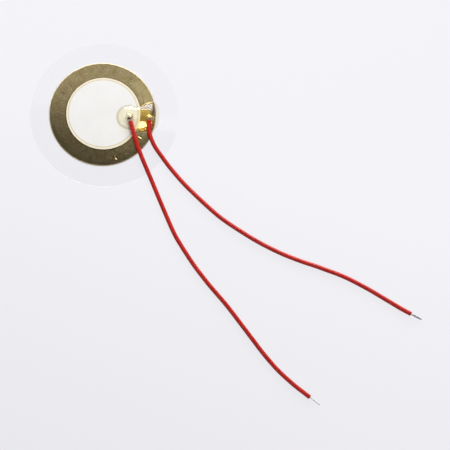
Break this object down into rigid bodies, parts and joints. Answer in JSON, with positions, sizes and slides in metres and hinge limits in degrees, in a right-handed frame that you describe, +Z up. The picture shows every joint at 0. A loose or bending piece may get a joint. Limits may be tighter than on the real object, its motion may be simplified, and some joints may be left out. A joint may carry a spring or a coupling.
{
  "type": "piezo disc with leads",
  "caption": "Round brass and ceramic sounder disc on a wider clear film, with two thin insulated leads soldered to it under a clear drop of glue.",
  "frame": {"origin": "centre of the clear film's underside, on the surface that the disc lies on", "axes": "+Z up, out of the ceramic side; +X from the middle of the disc towards the solder joints; both leads run out towards +X and -Y"},
  "size_m": [0.1155, 0.1084, 0.0022],
  "materials": {
    "film": "clear thin film, slightly hazy",
    "adhesive": "clear milky adhesive",
    "brass": "rolled, slightly dull and finely scratched",
    "bond": "cured conductive glue",
    "silver": "fired silver print, matt and nearly white",
    "ceramic": "fired, matt, cream",
    "solder": "solidified solder, bright",
    "glue": "clear, faintly amber, glossy",
    "tinned_copper": "dull tinned strands",
    "red_insulation": "smooth red vinyl, slight gloss"
  },
  "bodies": {
    "root": {"base_film": "film", "film_adhesive": "adhesive", "brass_plate": "brass", "bond_layer": "bond", "lower_electrode": "silver", "ceramic_disc": "ceramic", "upper_electrode": "silver", "electrode_solder": "solder", "brass_solder": "solder", "glue_drop": "glue", "electrode_lead_root": "tinned_copper", "brass_lead_root": "tinned_copper", "electrode_lead": "red_insulation", "brass_lead": "red_insulation", "electrode_lead_tip": "tinned_copper", "brass_lead_tip": "tinned_copper"}
  },
  "joints": []
}
